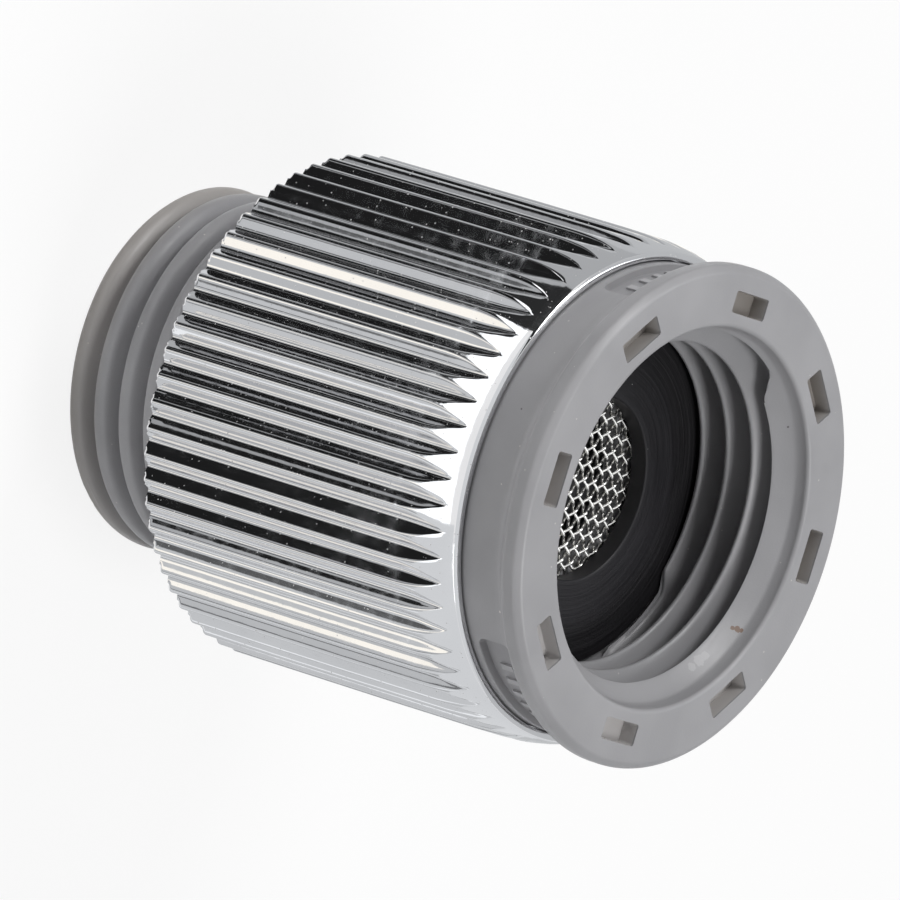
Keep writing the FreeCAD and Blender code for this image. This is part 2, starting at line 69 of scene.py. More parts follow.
def gridFaces(rows, columns):
    # rows go round the section, columns go round the axis; both close on themselves
    j, i = np.meshgrid(np.arange(rows), np.arange(columns), indexing="ij")
    nextJ, nextI = (j + 1) % rows, (i + 1) % columns
    corners = [j * columns + i, j * columns + nextI, nextJ * columns + nextI, nextJ * columns + i]
    quads = np.stack(corners, -1)
    return quads.reshape(-1, 4).tolist()


def lathe(name, radii, heights, angles):
    # radii, heights and angles are arrays of rows by columns, in millimetres and radians
    x, y = radii * np.cos(angles), radii * np.sin(angles)
    points = np.stack([x, y, heights], -1).reshape(-1, 3) * mm
    return newObject(name, points, gridFaces(*radii.shape))


def sweepSection(corners, step):
    # even points along a closed section; a corner is (radius, height) or (radius, height, rounding)
    arcStep = math.radians(14)
    places = [np.array(corner[:2], float) for corner in corners]
    path = []
    for k, (corner, here) in enumerate(zip(corners, places)):
        if len(corner) == 3:
            a, b = places[k - 1] - here, places[(k + 1) % len(places)] - here
            a, b = a / np.linalg.norm(a), b / np.linalg.norm(b)
            half = math.acos(max(-1, min(1, float(a @ b)))) / 2
            reach, out = corner[2] / math.tan(half), corner[2] / math.sin(half)
            middle = here + (a + b) / np.linalg.norm(a + b) * out
            p, q = here + a * reach - middle, here + b * reach - middle
            sweep = math.pi - 2 * half
            parts = max(3, int(math.ceil(sweep / arcStep)))
            sign = 1 if p[0] * q[1] - p[1] * q[0] > 0 else -1
            for m in range(parts + 1):
                t = sign * sweep * m / parts
                c, s = math.cos(t), math.sin(t)
                path.append(middle + np.array([p[0] * c - p[1] * s, p[0] * s + p[1] * c]))
        else:
            path.append(here)
    out = []
    for k, p in enumerate(path):
        q = path[(k + 1) % len(path)]
        length = float(np.linalg.norm(q - p))
        parts = max(1, int(round(length / step(p, q)))) if length > 1e-6 else 0
        out += [p + (q - p) * m / parts for m in range(parts)]
    return np.array(out)


def smoothStep(x):
    x = np.clip(x, 0, 1)
    return x * x * (3 - 2 * x)


def band(x, low, high, soft):
    # 1 between low and high, easing to 0 over soft on each side
    return smoothStep((x - low) / soft + 0.5) * smoothStep((high - x) / soft + 0.5)


def softMax(x, width):
    return (x + np.sqrt(x * x + width * width)) / 2


class Wire:
    # a shader socket that takes part in sums
    def __init__(self, tree, socket):
        self.tree, self.socket = tree, socket

    def math(self, operation, *others):
        return node(self.tree, "ShaderNodeMath", {"operation": operation}, [self, *others])

    def __add__(self, other):
        return self.math("ADD", other)

    __radd__ = __add__

    def __sub__(self, other):
        return self.math("SUBTRACT", other)

    def __rsub__(self, other):
        return node(self.tree, "ShaderNodeMath", {"operation": "SUBTRACT"}, [other, self])

    def __mul__(self, other):
        return self.math("MULTIPLY", other)

    __rmul__ = __mul__

    def __gt__(self, other):
        return self.math("GREATER_THAN", other)

    def __lt__(self, other):
        return self.math("LESS_THAN", other)


def node(tree, kind, settings=None, inputs=None, output=0):
    # one node: its settings first, then the values or links of its sockets
    made = tree.nodes.new(kind)
    for key, value in (settings or {}).items():
        if key == "stops":
            elements = made.color_ramp.elements
            while len(elements) < len(value):
                elements.new(0.5)
            for element, (position, colour) in zip(elements, value):
                element.position = position
                element.color = (*colour, 1) if isinstance(colour, tuple) else (colour, colour, colour, 1)
        else:
            setattr(made, key, value)
    pairs = inputs.items() if isinstance(inputs, dict) else enumerate(inputs or [])
    for key, value in pairs:
        socket = made.inputs[key]
        if isinstance(value, Wire):
            tree.links.new(value.socket, socket)
        else:
            socket.default_value = value
    return Wire(tree, made.outputs[output]) if len(made.outputs) else None


def blendColour(tree, factor, a, b):
    a, b = [(*colour, 1) if isinstance(colour, tuple) else colour for colour in (a, b)]
    return node(tree, "ShaderNodeMix", {"data_type": "RGBA"}, {0: factor, 6: a, 7: b}, 2)


def vector(tree, operation, *values):
    # vector maths; a length, distance or dot product comes out as a number
    output = "Value" if operation in ("LENGTH", "DISTANCE", "DOT_PRODUCT") else "Vector"
    return node(tree, "ShaderNodeVectorMath", {"operation": operation}, values, output)


def place(tree):
    # position on the piece, in metres, which turns with it
    return node(tree, "ShaderNodeTexCoord", output="Object")


def fromAxis(tree, where):
    # distance from the common axis
    return vector(tree, "LENGTH", vector(tree, "MULTIPLY", where, (1, 1, 0)))


def noise(tree, where, scale, detail):
    return node(tree, "ShaderNodeTexNoise", {}, {"Vector": where, "Scale": scale, "Detail": detail})


def ramp(tree, value, stops):
    return node(tree, "ShaderNodeValToRGB", {"stops": stops}, [value])


def bump(tree, height, strength, distance):
    return node(tree, "ShaderNodeBump", {}, {"Strength": strength, "Distance": distance, "Height": height})


def material(name, make):
    made = bpy.data.materials.new(name)
    made.use_nodes = True
    tree = made.node_tree
    shader = tree.nodes["Principled BSDF"]
    for key, value in make(tree).items():
        socket = shader.inputs[key]
        if isinstance(value, Wire):
            tree.links.new(value.socket, socket)
        else:
            socket.default_value = (*value, 1) if isinstance(value, tuple) else value
    return made


def specks(tree, where, scale, size, share):
    # small dots scattered on a share of the cells
    cell, pick = [
        node(tree, "ShaderNodeTexVoronoi", {"feature": "F1"}, {"Vector": where, "Scale": scale}, output)
        for output in ("Distance", "Color")
    ]
    chosen = node(tree, "ShaderNodeSeparateColor", {}, [pick]) < share
    return chosen * (cell < size)


def nearPoints(tree, where, ragged, spots):
    # 1 close to any of some points of the piece, 0 beyond a ragged edge; millimetres
    mask = None
    for centre, radius in spots:
        far = vector(tree, "DISTANCE", where, tuple(c * mm for c in centre))
        inside = far + ragged * (1.2 * radius * mm) < 1.6 * radius * mm
        mask = inside if mask is None else mask.math("MAXIMUM", inside)
    return mask


wear = (
    # colour, strength, then centres and radii in millimetres
    ((0.16, 0.085, 0.045), 0.85, (   # brown specks in the socket's mouth
        ((5.02, 8.95, 35.1), 0.13), ((4.99, 9.16, 35.28), 0.18), ((5.0, 9.32, 35.44), 0.12),
    )),
    ((0.62, 0.62, 0.63), 0.24, (     # pale rub beside them
        ((6.9, 7.4, 35.0), 0.24), ((7.24, 7.03, 34.94), 0.34), ((7.72, 6.55, 34.97), 0.26),
    )),
    ((0.06, 0.05, 0.05), 0.7, (      # dark specks
        ((2.70, -13.12, 34.61), 0.09), ((-6.53, 8.13, 35.28), 0.06), ((-3.1, -13.03, 33.2), 0.06),
    )),
)
greys = {
    "plain": ((0.315, 0.313, 0.325), (0.365, 0.362, 0.375)),
    "marks": ((0.37, 0.367, 0.38), (0.41, 0.407, 0.42)),
    "dust": (0.7, 0.68, 0.64),
    "lint": (0.6, 0.58, 0.56),
    "pocket": ((0.23, 0.205, 0.185), (0.34, 0.32, 0.3), (0.42, 0.405, 0.4)),   # painted shade, floor to rim
    # painted light on the pockets towards +x
    "litPocket": (0.5, 0.485, 0.48),
    # painted shade on the walls and floors of the scale recesses
    "recessWallShade": (0.262, 0.258, 0.268),
    "recessFloor": (0.3, 0.297, 0.31),
    # painted light at the thin end of the outlet
    "throughLightTint": (0.47, 0.435, 0.4),
}


def greyPlastic(tints, wornAndShaded):
    def make(tree):
        where = place(tree)
        cloud = noise(tree, where, 160, 3)
        grain = noise(tree, where, 9000, 2)
        tone = blendColour(tree, ramp(tree, cloud, [(0.35, 0.0), (0.7, 1.0)]), *tints)
        scratch = noise(tree, vector(tree, "MULTIPLY", where, (1, 1, 9)), 700, 2)
        return {
            "Base Color": soilAndShade(tree, where, tone) if wornAndShaded else tone,
            "Roughness": ramp(tree, scratch, [(0.3, 0.3), (0.7, 0.44)]),
            "Specular IOR Level": 0.45,
            "Normal": bump(tree, grain * 0.5 + cloud * 0.5, 0.12, 0.0001),
        }
    return make


def soilAndShade(tree, where, tone):
    # dust, specks and dirt over a plain tone, with painted shade in the pockets and scale recesses and
    # painted light at the thin end of the outlet
    dots = specks(tree, where, 900, 0.07, 0.02) + specks(tree, where, 2600, 0.14, 0.03) * 0.5
    tone = blendColour(tree, dots.math("MINIMUM", 1.0), tone, greys["dust"])
    ragged = noise(tree, where, 5200, 2)
    for colour, share, spots in wear:
        tone = blendColour(tree, nearPoints(tree, where, ragged, spots) * share, tone, colour)
    level = node(tree, "ShaderNodeSeparateXYZ", {}, [where], "Z")
    reach = fromAxis(tree, where)

    def between(value, low, high):
        return (value > low * mm) * (value < high * mm)

    # painted shade: the pockets are darker and browner towards their floors; painted light: pockets further
    # along (1, -0.35, 0) are paler
    paintedPocketShade = ramp(tree, (level - 34.9 * mm) * 690.0, list(zip((0.1, 0.5, 0.95), greys["pocket"])))
    side = vector(tree, "DOT_PRODUCT", where, (1, -0.35, 0))
    paintedPocketLight = ramp(tree, (side + 12 * mm) * 42.0, [(0.1, 0.0), (1.0, 1.0)])
    paintedPocketShade = blendColour(tree, paintedPocketLight, paintedPocketShade, greys["litPocket"])
    tone = blendColour(tree, between(reach, 11.4, 12.96) * between(level, 34.8, 36.25), tone, paintedPocketShade)
    # painted shade darkens the scale recesses, their walls most
    recess = between(level, 31.9, 35.05)
    tone = blendColour(tree, recess * between(reach, 12.9, 13.35), tone, greys["recessWallShade"])
    tone = blendColour(tree, recess * between(reach, 12.9, 13.06), tone, greys["recessFloor"])
    lint = specks(tree, where, 1500, 0.08, 0.05) * (level < 9.3 * mm)
    tone = blendColour(tree, lint, tone, greys["lint"])
    # painted light: the thin end of the outlet is painted warmer and paler, as if light came through it
    paintedThroughLight = ramp(tree, level * 300.0, [(0.15, 1.0), (0.75, 0.0)])
    return blendColour(tree, paintedThroughLight * 0.6, tone, greys["throughLightTint"])


def innerPlastic(tree):
    where = place(tree)
    cloud = noise(tree, where, 300, 3)
    return {
        # the plastic's own dark colour, painted darker still as shade behind the screen
        "Base Color": blendColour(tree, cloud, (0.018, 0.018, 0.02), (0.04, 0.04, 0.042)),
        "Roughness": ramp(tree, noise(tree, where, 2500, 2), [(0.3, 0.42), (0.7, 0.56)]),
        "Normal": bump(tree, noise(tree, where, 5000, 2), 0.1, 0.0001),
    }


def chromedPlastic(tree):
    where = place(tree)
    cloud = noise(tree, where, 220, 2)
    orange = noise(tree, where, 1300, 2)
    dust = specks(tree, where, 5200, 0.2, 0.1)
    crumbs = specks(tree, where, 1700, 0.06, 0.05)
    marks = (dust * 0.55 + crumbs).math("MINIMUM", 1.0)
    steel = blendColour(tree, cloud, (0.73, 0.73, 0.745), (0.82, 0.82, 0.83))
    return {
        "Base Color": blendColour(tree, marks, steel, (0.55, 0.54, 0.52)),
        "Metallic": 1.0 - marks,
        "Roughness": ramp(tree, orange, [(0.3, 0.04), (0.75, 0.11)]) + marks * 0.4,
        "Normal": bump(tree, orange * 0.5 + marks * 0.4, 0.14, 0.00006),
    }


def washerRubber(tree):
    where = place(tree)
    spread = node(tree, "ShaderNodeSeparateXYZ", {}, [where], "X")
    reach = fromAxis(tree, where)
    # moulding rings, broad and fine, that drift a little across the washer
    rings = noise(tree, node(tree, "ShaderNodeCombineXYZ", {}, [reach * 14.0, spread * 0.4, 0.0]), 420, 3)
    fine = noise(tree, node(tree, "ShaderNodeCombineXYZ", {}, [reach * 40.0, spread * 0.2, 0.0]), 420, 2)
    dust = specks(tree, where, 1600, 0.09, 0.05)
    outer = ramp(tree, reach * 100.0, [(0.74, 0.0), (0.82, 1.0)])
    # the fine lines near the outer edge are painted lighter, partly moulding lines and partly painted
    # highlight
    lines = ramp(tree, fine, [(0.56, 0.0), (0.68, 1.0)]) * outer
    tone = blendColour(tree, rings, (0.007, 0.0066, 0.0078), (0.02, 0.019, 0.022))
    tone = blendColour(tree, outer * 0.45, tone, (0.007, 0.0066, 0.007))
    tone = blendColour(tree, lines * 0.6, tone, (0.045, 0.043, 0.047))
    return {
        "Base Color": blendColour(tree, dust, tone, (0.3, 0.3, 0.3)),
        "Roughness": ramp(tree, rings, [(0.3, 0.34), (0.7, 0.55)]),
        "Specular IOR Level": 0.26,
        "Normal": bump(tree, rings + fine * 0.5, 0.4, 0.00005),
    }


def sealRubber(tree):
    where = place(tree)
    fine = noise(tree, where, 2500, 3)
    return {
        "Base Color": blendColour(tree, fine, (0.012, 0.012, 0.013), (0.03, 0.03, 0.03)),
        "Roughness": ramp(tree, fine, [(0.3, 0.45), (0.7, 0.65)]),
        "Normal": bump(tree, fine, 0.2, 0.00005),
    }


def brightWire(tree):
    where = place(tree)
    drawn = noise(tree, where, 3000, 2)
    return {
        "Base Color": blendColour(tree, drawn, (0.84, 0.83, 0.8), (0.96, 0.95, 0.92)),
        "Metallic": 1.0,
        "Roughness": ramp(tree, drawn, [(0.3, 0.16), (0.7, 0.3)]),
        "Normal": bump(tree, drawn, 0.1, 0.00003),
    }


def groundSteel(tree):
    where = place(tree)
    lines = noise(tree, vector(tree, "MULTIPLY", where, (0.2, 1, 1)), 4000, 2)
    return {
        "Base Color": blendColour(tree, lines, (0.5, 0.5, 0.5), (0.68, 0.68, 0.67)),
        "Metallic": 1.0,
        "Roughness": ramp(tree, lines, [(0.3, 0.2), (0.7, 0.34)]),
        "Normal": bump(tree, lines, 0.15, 0.00003),
    }


finishes = {
    "body_plastic": material("body_plastic_finish", greyPlastic(greys["plain"], True)),
    "chromed_plastic": material("chromed_plastic_finish", chromedPlastic),
    "inner_plastic": material("inner_plastic_finish", innerPlastic),
    "pin_steel": material("pin_steel_finish", groundSteel),
    "seal_rubber": material("seal_rubber_finish", sealRubber),
    "washer_rubber": material("washer_rubber_finish", washerRubber),
    "screen_steel": material("screen_steel_finish", brightWire),
}
markFinish = material("scale_mark_finish", greyPlastic(greys["marks"], False))
for part in frame["record"]["subparts"]:
    thing = frame["nodes"][part["node"]]
    thing.data.materials.clear()
    thing.data.materials.append(finishes[part["material_slot"]])
print("finishes made")


def dress(thing, body, slotName, *nodes):
    thing.data.materials.append(finishes[slotName])
    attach(thing, body)
    if nodes:
        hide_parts(*nodes)
    return thing


threadPitch = 1.814   # millimetres, G1/2


def ridge(phase, crestShare, rootShare, soft, softRoot):
    # height of a ridge, 0 to 1, over one pitch; phase 0 is the middle of the crest
    x = np.abs((phase + 0.5) % 1.0 - 0.5)
    flank = (1 - crestShare - rootShare) / 2
    t = 1 - (x - crestShare / 2) / flank
    return np.clip(1 - softMax(1 - softMax(t, softRoot), soft), 0, 1)


outlet = {
    "columns": 360,
    "row": 0.075,          # spacing of the rows along the thread
    "crest": 10.46,
    "root": 9.42,
    "threadEnd": 9.0,
    "phase": 0.562,        # turns by which the ridge leads
    "shares": (0.46, 0.02),    # parts of the pitch that crest and root take
    "rounding": (0.3, 0.05),   # of crest and root
    "neck": 9.33,
    "shoulder": (12.6, 10.0, 12.0),   # radius, heights
    "tube": (10.5, 24.8),             # radius, top
    "bore": 8.4,
    "waterway": 7.0,
    "flat": {"angle": -34.5, "half": 9.5, "height": 0.9},   # worn flat on the first crest
}


def makeOutlet():
    angles = np.arange(outlet["columns"]) / outlet["columns"] * turn
    crest, root, neck = outlet["crest"], outlet["root"], outlet["neck"]
    bore, waterway = outlet["bore"], outlet["waterway"]
    shoulder, low, high = outlet["shoulder"]
    tube, top = outlet["tube"]
    corners = [
        (waterway, 0.0, 0.3), (crest, 0.0, 0.3), (crest, 9.2), (neck, 9.25), (neck, low), (shoulder, low),
        (shoulder, high), (tube, high), (tube, top), (bore, top), (bore, 10.4), (waterway, 10.4),
    ]

    def step(p, q):
        inThread = abs(p[0] - q[0]) < 0.2 and p[0] > 10 and max(p[1], q[1]) < 9.3
        return outlet["row"] if inThread else 3.0

    section = sweepSection(corners, step)
    radii = np.repeat(section[:, :1], outlet["columns"], 1)
    heights = np.repeat(section[:, 1:], outlet["columns"], 1)
    spin = np.repeat(angles[None, :], len(section), 0)
    threaded = ((section[:, 0] > 9.9) & (section[:, 1] < 9.2))[:, None]
    phase = heights / threadPitch - spin / turn - outlet["phase"]
    shape = ridge(phase, *outlet["shares"], *outlet["rounding"])
    fade = smoothStep((outlet["threadEnd"] - heights) / 0.5)
    depth = (1 - shape * fade) * (crest - root)
    radii = np.where(threaded, np.minimum(radii, np.maximum(crest - depth, root)), radii)
    flat = outlet["flat"]
    away = (spin - math.radians(flat["angle"]) + math.pi) % turn - math.pi
    chord = crest * math.cos(math.radians(flat["half"])) / np.maximum(np.cos(away), 0.5)
    chord = chord + np.clip(heights - flat["height"], 0, 1)
    near = threaded & (np.abs(away) < 0.4)
    radii = np.where(near, np.minimum(radii, np.maximum(chord, root)), radii)
    body = lathe("outletThreadedBody", radii, heights, spin)
    sharpen(body, 50)
    return dress(body, "body", "body_plastic", "outlet_body")


makeOutlet()
print("outlet body made")


inlet = {
    "columns": 480,
    "row": 0.06,           # spacing of the rows along the socket
    "top": 36.35,
    "collar": 13.4,
    "skirt": (12.6, 21.6, 30.8),   # radius, heights
    "rim": (14.25, 35.2, 35.98),   # radius, heights
    "land": 10.6,
    "landHeights": (29.35, 35.45),
    "mouthCone": (9.65, 34.5),     # 45 degree lead-in: radius and height of its low end
    "floor": (10.49, 27.6, 26.2),  # radius, heights
    "seat": 5.2,                   # opening in the floor
    "phase": 0.052,
    "root": 11.2,
    "minor": 9.4,
    "shares": (0.13, 0.2),         # parts of the pitch that crest and root take
    "rounding": (0.07, 0.07),
    "threadTop": 33.85,
    "runIn": (146.0, 205.0),       # degrees over which the first groove opens to the mouth
    "tail": (29.46, 29.29),        # heights at which the last crest steps down and stops
    "pockets": 8,
    "pocketRadius": 12.2,
    "pocketSize": (1.25, 3.05, 1.0),
    "recessFloor": 13.02,
    "recesses": ((-45.0, 12.0), (160.0, 217.0)),   # degrees
    "recessHeights": (32.2, 34.95),
}


def makeInlet():
    columns = inlet["columns"]
    angles = np.arange(columns) / columns * turn
    land, collar, top, seat = inlet["land"], inlet["collar"], inlet["top"], inlet["seat"]
    landLow, landHigh = inlet["landHeights"]
    skirt, skirtLow, skirtHigh = inlet["skirt"]
    rim, rimLow, rimHigh = inlet["rim"]
    well, floorTop, floorLow = inlet["floor"]
    corners = [
        (10.56, skirtLow), (skirt, skirtLow), (skirt, skirtHigh), (collar, skirtHigh), (collar, 34.45, 1.3),
        (rim, rimLow, 0.35), (rim, rimHigh, 0.3), (13.88, top, 0.3), (10.8, top, 0.28), (10.72, 35.6),
        (land, landHigh), (land, landLow), (well, 29.3), (well, floorTop), (seat, floorTop),
        (seat, floorLow), (10.56, floorLow),
    ]

    def step(p, q):
        if abs(p[0] - land) < 0.01 and abs(q[0] - land) < 0.01:
            return inlet["row"]
        return 3.0

    section = sweepSection(corners, step)
    radii = np.repeat(section[:, :1], columns, 1)
    heights = np.repeat(section[:, 1:], columns, 1)
    spin = np.repeat(angles[None, :], len(section), 0)

    # internal thread between its root and minor radius
    threaded = ((np.abs(section[:, 0] - land) < 0.01) & (section[:, 1] < 35.42))[:, None]
    offset = (heights / threadPitch - spin / turn - inlet["phase"] + 0.5) % 1.0 - 0.5
    middle = heights - offset * threadPitch
    shape = ridge(offset, *inlet["shares"], *inlet["rounding"])
    stepDown, stop = inlet["tail"]
    live = 0.5 * smoothStep((middle - stepDown) / 0.04 + 0.5) + 0.5 * smoothStep((middle - stop) / 0.05 + 0.5)
    live = live * smoothStep((inlet["threadTop"] - middle) / 0.15 + 0.5)
    opened = band(np.degrees(spin), *inlet["runIn"], 14)
    coneRadius, coneLow = inlet["mouthCone"]
    edge = coneLow + 0.7 * opened
    live = live * (1 - smoothStep((heights - 34.0) / 0.22) * (1 - opened))
    cone = coneRadius + (heights - coneLow) * (land - coneRadius) / (landHigh - coneLow)
    root = inlet["root"] + (cone - inlet["root"]) * smoothStep((heights - edge) / 0.12 + 0.5)
    root = root + (well - root) * smoothStep((29.4 - heights) / 0.1)
    radii = np.where(threaded, root - shape * live * (root - inlet["minor"]), radii)
    body = lathe("inletSocketBody", radii, heights, spin)
    sharpen(body, 50)

    # scale recesses in the collar
    for low, high in inlet["recesses"]:
        cutAway(body, bentBlock("recessCutter", low, high, inlet["recessHeights"], inlet["recessFloor"]))

    # moulded pockets in the face
    width, length, depth = inlet["pocketSize"]
    outwards = Matrix.Translation((inlet["pocketRadius"] * mm, 0, top * mm))
    for k in range(inlet["pockets"]):
        cutter = roundedBlock("pocketCutter", width, length, depth * 2, 0.16)
        cutter.matrix_world = Matrix.Rotation(turn * k / inlet["pockets"], 4, "Z") @ outwards
        cutAway(body, cutter)
    return dress(body, "body", "body_plastic", "inlet_body")


def roundedBlock(name, sizeX, sizeY, sizeZ, corner):
    # upright block with rounded vertical edges, slightly narrower below
    inX, inY = sizeX / 2 - corner, sizeY / 2 - corner
    ring = []
    for cx, cy, start in ((1, 1, 0), (-1, 1, 90), (-1, -1, 180), (1, -1, 270)):
        for m in range(5):
            a = math.radians(start + 22.5 * m)
            ring.append((cx * inX + corner * math.cos(a), cy * inY + corner * math.sin(a)))
    count = len(ring)
    ends = ((-sizeZ / 2, 0.95), (sizeZ / 2, 1.05))
    points = [(x * t * mm, y * t * mm, z * mm) for z, t in ends for x, y in ring]
    faces = [(i, (i + 1) % count, (i + 1) % count + count, i + count) for i in range(count)]
    faces += [tuple(range(count))[::-1], tuple(range(count, 2 * count))]
    return newObject(name, points, faces, smooth=False)


def bentBlock(name, low, high, heightRange, floor):
    # block that follows the collar; its floor is narrower than its mouth, so the walls slope
    bottom, top = heightRange
    collar, reach = inlet["collar"], 14.6
    slope, span = 0.45, 48   # of the walls; faces along the block

    def outline(radius):
        inset = (collar - radius) * slope
        left = math.radians(low) * collar + inset
        right = math.radians(high) * collar - inset
        base = bottom + inset
        turns = ((right, top, 0.9, 0), (left, top, 0.9, 90), (left, base, 0.5, 180), (right, base, 0.5, 270))
        ring = []
        for cx, cy, corner, start in turns:
            inX = cx - corner if cx == right else cx + corner
            inY = cy - corner if cy == top else cy + corner
            for m in range(7):
                a = math.radians(start + 15 * m)
                ring.append((inX + corner * math.cos(a), inY + corner * math.sin(a)))
            if start in (0, 180):
                begin, end = (right - 1.1, left + 1.1) if start == 0 else (left + 1.1, right - 1.1)
                ring += [(begin + (end - begin) * m / span, cy) for m in range(span + 1)]
        wide = radius * mm
        return [(wide * math.cos(x / collar), wide * math.sin(x / collar), y * mm) for x, y in ring]

    points = outline(floor) + outline(reach)
    count = len(points) // 2
    faces = [(i, (i + 1) % count, (i + 1) % count + count, i + count) for i in range(count)]
    row = span + 1
    topRow = list(range(7, 7 + row))
    lowRow = list(range(21 + row, 21 + 2 * row))[::-1]
    for base, flip in ((0, True), (count, False)):
        caps = [(a, b, d, c) for a, b, c, d in zip(topRow, topRow[1:], lowRow, lowRow[1:])]
        rightEnd = tuple([*range(21 + 2 * row, count), *range(0, 8), 20 + 2 * row])
        leftEnd = tuple(range(6 + row, 22 + row))
        for face in caps + [rightEnd, leftEnd]:
            face = tuple(base + i for i in face)
            faces.append(face[::-1] if flip else face)
    block = newObject(name, points, faces, smooth=False)
    bpy.context.view_layer.objects.active = block
    block.select_set(True)
    bpy.ops.object.mode_set(mode="EDIT")
    bpy.ops.mesh.select_all(action="SELECT")
    bpy.ops.mesh.normals_make_consistent(inside=False)
    bpy.ops.object.mode_set(mode="OBJECT")
    block.select_set(False)
    return block


def cutAway(thing, cutter):
    bpy.context.view_layer.update()
    change = thing.modifiers.new("cut", "BOOLEAN")
    change.operation = "DIFFERENCE"
    change.solver = "EXACT"
    change.object = cutter
    settle(thing)
    bpy.data.objects.remove(cutter)


def settle(thing):
    # modifiers become part of the mesh
    depsgraph = bpy.context.evaluated_depsgraph_get()
    mesh = bpy.data.meshes.new_from_object(thing.evaluated_get(depsgraph))
    thing.modifiers.clear()
    old = thing.data
    thing.data = mesh
    bpy.data.meshes.remove(old)


makeInlet()
print("inlet body made")


grip = {
    "base": 9.3,
    "length": 22.4,
    "crest": 14.5,
    "depth": 0.58,
    "ribs": 60,
    "firstFlute": 0.7,     # degrees
    "runoutRadius": 10.0,
    "tip": 21.55,          # height at which a flute has run out
    "slope": 1.04,         # flank of a flute
    "valley": 0.11,
    "barrel": ((15.4, 0.008), (19.75, 0.12)),   # heights where the outside closes in, and how fast
    "lip": (13.5, 0.4),    # inner radius and height of the thin upper lip
    "bores": (13.75, 12.9, 10.95),
    "across": 10,          # columns across a flute
    "land": 4,             # columns across a crest
    "dimple": {"angle": 169.2, "height": 31.05, "radius": 0.42, "depth": 0.2},
}


def makeSleeve():
    length, crest = grip["length"], grip["crest"]
    pitch = turn / grip["ribs"]
    half = pitch / 2 * crest
    radius = grip["runoutRadius"]
    end = grip["tip"]
    run = math.sqrt(radius ** 2 - (radius - grip["depth"]) ** 2)

    def floorDepth(z):
        # how deep the flute's floor lies at a height
        rise = np.clip(z - (end - run), 0, None)
        return grip["depth"] - (radius - np.sqrt(np.maximum(radius ** 2 - rise ** 2, 1.0)))

    mouth, bore, lowBore = grip["bores"]
    lip, lipHeight = grip["lip"]
    corners = [
        (lowBore, 0.0, 0.1), (crest, 0.0, 0.34), (crest, length, 0.2), (lip, length, 0.04),
        (lip, length - lipHeight), (mouth, length - 0.9), (mouth, length - 1.0), (bore, length - 1.0),
        (bore, 0.6), (lowBore, 0.6),
    ]
    section = sweepSection(corners, lambda p, q: 2 * length)
    # add rows where the flutes run out
    outer = max(k for k, (r, z) in enumerate(section) if r > crest - 0.01 and z < length / 2)
    low, high = section[outer][1], length - 0.46
    levels = [6.0, 12.0, end - run - 0.3, *np.linspace(end - run, end + 0.12, 26), end + 0.2, end + 0.3]
    extra = np.array([(crest, z) for z in levels if low < z < high])
    section = np.concatenate([section[:outer + 1], extra, section[outer + 1:]])

    across, land = grip["across"], grip["land"]
    rows = []
    for r, z in section:
        depth = float(floorDepth(np.array(z)))
        edge = max(0.05, min(depth / grip["slope"] + 0.1, half * 0.86))
        relax = smoothStep((z - end - 0.1) / 0.5) if z > end else 0.0
        edge = edge * (1 - relax) + half * 0.6 * relax
        if r < 13.95:
            edge = half * 0.7
        flute = np.linspace(-1, 1, across + 1) * edge
        rib = edge + np.linspace(0, 1, land + 2)[1:-1] * 2 * (half - edge)
        rows.append(np.concatenate([flute, rib]))
    rows = np.array(rows)
    columns = rows.shape[1] * grip["ribs"]
    offset = np.repeat(np.arange(grip["ribs"]) * pitch, rows.shape[1])
    arc = np.tile(rows, (1, grip["ribs"]))
    spin = arc / crest + offset[None, :] + math.radians(grip["firstFlute"])
    side = np.abs((arc + half) % (2 * half) - half)

    heights = np.repeat(section[:, 1:], columns, 1)
    radii = np.repeat(section[:, :1], columns, 1)
    rounded = np.sqrt(side ** 2 + grip["valley"] ** 2) - grip["valley"]
    ease = 0.02 + 0.06 * np.clip((end - heights) / 3, 0, 1)
    sink = softMax(floorDepth(heights) - rounded * grip["slope"], ease)
    sink = np.where(floorDepth(heights) < -0.02, sink * smoothStep((end + 0.6 - heights) / 0.5), sink)
    outside = (section[:, 0] > 13.99)[:, None]
    # on the lower end the flute cuts down through the rounded edge
    wanted = crest - sink
    closing = sum(0.5 * rate * np.maximum(heights - start, 0) ** 2 for start, rate in grip["barrel"])
    radii = np.where(outside, np.minimum(radii, wanted - (crest - radii) * (sink < 0.2)), radii)

    # round index mark on the upper edge
    mark = grip["dimple"]
    away = (spin - math.radians(mark["angle"]) + math.pi) % turn - math.pi
    far = np.sqrt((away * crest) ** 2 + (heights + grip["base"] - mark["height"]) ** 2) / mark["radius"]
    radii = np.where(outside, radii - mark["depth"] * smoothStep(1.4 - far), radii)

    radii = np.where(outside, radii - closing, radii)
    sleeve = lathe("fluteGripSleeve", radii, heights + grip["base"], spin)
    sharpen(sleeve, 60)
    return dress(sleeve, "sleeve", "chromed_plastic", "grip_sleeve")


makeSleeve()
print("sleeve made")


washer = {
    "columns": 200,
    "inner": 5.22,
    "outer": 10.18,
    "low": 27.6,
    "top": 29.3,
    "rebate": (6.65, 28.12),               # room for the screen's edge: radius, height
    "waves": ((0.03, 3, 0.6), (0.02, 5, 2.1)),   # height, count, start
}


